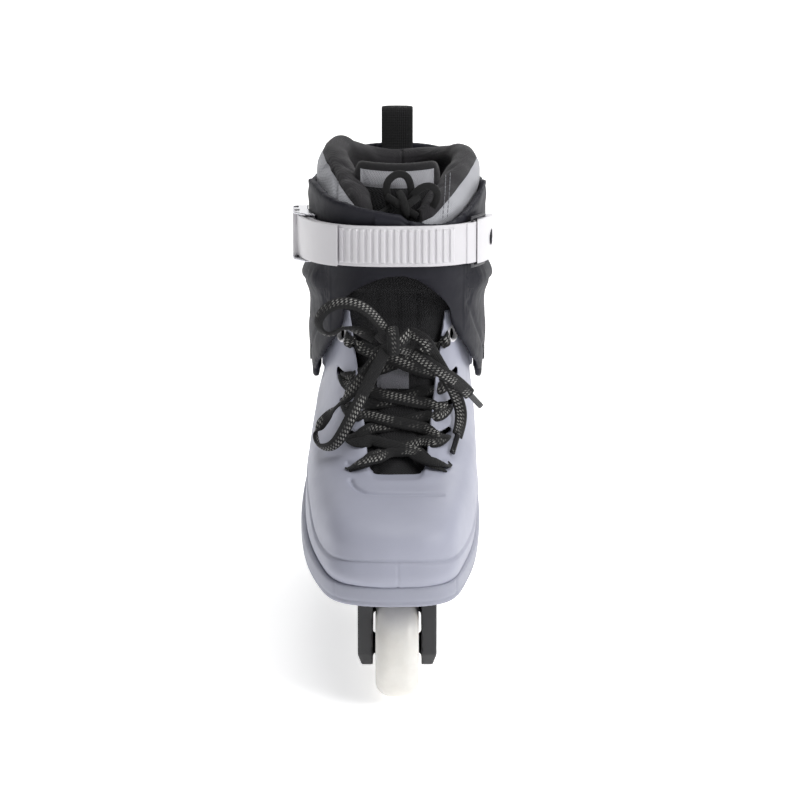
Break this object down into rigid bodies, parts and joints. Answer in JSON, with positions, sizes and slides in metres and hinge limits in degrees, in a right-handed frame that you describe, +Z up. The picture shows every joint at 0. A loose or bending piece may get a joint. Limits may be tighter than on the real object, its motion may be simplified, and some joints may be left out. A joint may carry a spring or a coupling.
{
  "type": "inline skate",
  "caption": "Inline skate with a moulded grey shell, a flexing black cuff with a ratchet strap, a padded laced liner and wheels in a black frame.",
  "frame": {"origin": "on the ground under the middle of the skate, in the plane of the wheels", "axes": "+Z up; the toe points along -Y; +X is the inner side of this right foot, -X the outer side with the buckle"},
  "size_m": [0.1153, 0.3053, 0.2753],
  "materials": {
    "urethane": "cast urethane, off-white, satin",
    "hub_nylon": "moulded nylon hub",
    "bearing_steel": "ground bearing steel",
    "fastener_steel": "zinc plated steel",
    "frame_nylon": "glass filled nylon, black",
    "shell_grey": "moulded shell plastic, cool grey",
    "cuff_black": "moulded cuff plastic, charcoal",
    "strap_white": "moulded strap plastic, pale warm grey",
    "buckle_metal": "plated pressed steel",
    "wire_black": "black wire",
    "liner_black": "padded knit lining, black",
    "tongue_fabric": "padded woven fabric, charcoal and grey",
    "foam_board": "dense foam",
    "lace_black": "flat woven lace with pale flecks",
    "lace_tip": "clear coated tip",
    "webbing": "woven webbing, black"
  },
  "bodies": {
    "boot": {"axle_bolts": "fastener_steel", "axle_screws": "fastener_steel", "bearing_spacers": "fastener_steel", "cuff_bolts": "fastener_steel", "cuff_nuts": "fastener_steel", "footbed": "foam_board", "frame": "frame_nylon", "frame_bolts": "fastener_steel", "frame_nuts": "fastener_steel", "inner_races": "bearing_steel", "lace_knot": "lace_black", "lace_loop_high": "lace_black", "lace_loop_low": "lace_black", "lace_rows": "lace_black", "lace_tail_long": "lace_black", "lace_tail_short": "lace_black", "lace_tips": "lace_tip", "liner_boot": "liner_black", "outer_slide_insert": "shell_grey", "shell": "shell_grey", "shock_board": "foam_board", "slide_screws": "fastener_steel", "soleplate": "shell_grey", "tongue": "tongue_fabric"},
    "wheel_1": {"wheel_1_tyre": "urethane", "wheel_1_core": "hub_nylon", "wheel_1_outer_races": "bearing_steel", "wheel_1_balls": "bearing_steel"},
    "wheel_2": {"wheel_2_tyre": "urethane", "wheel_2_core": "hub_nylon", "wheel_2_outer_races": "bearing_steel", "wheel_2_balls": "bearing_steel"},
    "wheel_3": {"wheel_3_tyre": "urethane", "wheel_3_core": "hub_nylon", "wheel_3_outer_races": "bearing_steel", "wheel_3_balls": "bearing_steel"},
    "wheel_4": {"wheel_4_tyre": "urethane", "wheel_4_core": "hub_nylon", "wheel_4_outer_races": "bearing_steel", "wheel_4_balls": "bearing_steel"},
    "cuff": {"cuff": "cuff_black", "liner_collar": "liner_black", "tongue_top": "tongue_fabric", "pull_tab": "webbing", "ladder_strap": "strap_white", "buckle_base": "buckle_metal", "buckle_rivets": "fastener_steel", "buckle_pins": "fastener_steel", "strap_anchor": "strap_white", "strap_wire": "wire_black", "anchor_screw": "fastener_steel", "liner_laces": "lace_black"},
    "lever": {"buckle_lever": "strap_white"},
    "pawl": {"release_pawl": "buckle_metal"}
  },
  "joints": [
    {"name": "wheel_1_spin", "type": "hinge", "parent": "boot", "child": "wheel_1", "pos_m": [0, -0.114, 0.03], "axis": [1, 0, 0], "continuous": true},
    {"name": "wheel_2_spin", "type": "hinge", "parent": "boot", "child": "wheel_2", "pos_m": [0, -0.051, 0.03], "axis": [1, 0, 0], "continuous": true},
    {"name": "wheel_3_spin", "type": "hinge", "parent": "boot", "child": "wheel_3", "pos_m": [0, 0.051, 0.03], "axis": [1, 0, 0], "continuous": true},
    {"name": "wheel_4_spin", "type": "hinge", "parent": "boot", "child": "wheel_4", "pos_m": [0, 0.114, 0.03], "axis": [1, 0, 0], "continuous": true},
    {"name": "cuff_flex", "type": "hinge", "parent": "boot", "child": "cuff", "pos_m": [0, 0.062, 0.145], "axis": [1, 0, 0], "range_deg": [-3, 5]},
    {"name": "buckle_lever_open", "type": "hinge", "parent": "cuff", "child": "lever", "pos_m": [-0.0569, 0.022, 0.2251], "axis": [0, -0.2079, -0.9781], "range_deg": [0, 75]},
    {"name": "release_pawl_press", "type": "hinge", "parent": "cuff", "child": "pawl", "pos_m": [-0.0575, 0.039, 0.22148], "axis": [0, -0.2079, -0.9781], "range_deg": [0, 8], "stiffness_Nm_per_rad": 0.02, "springref_deg": -20.05}
  ]
}
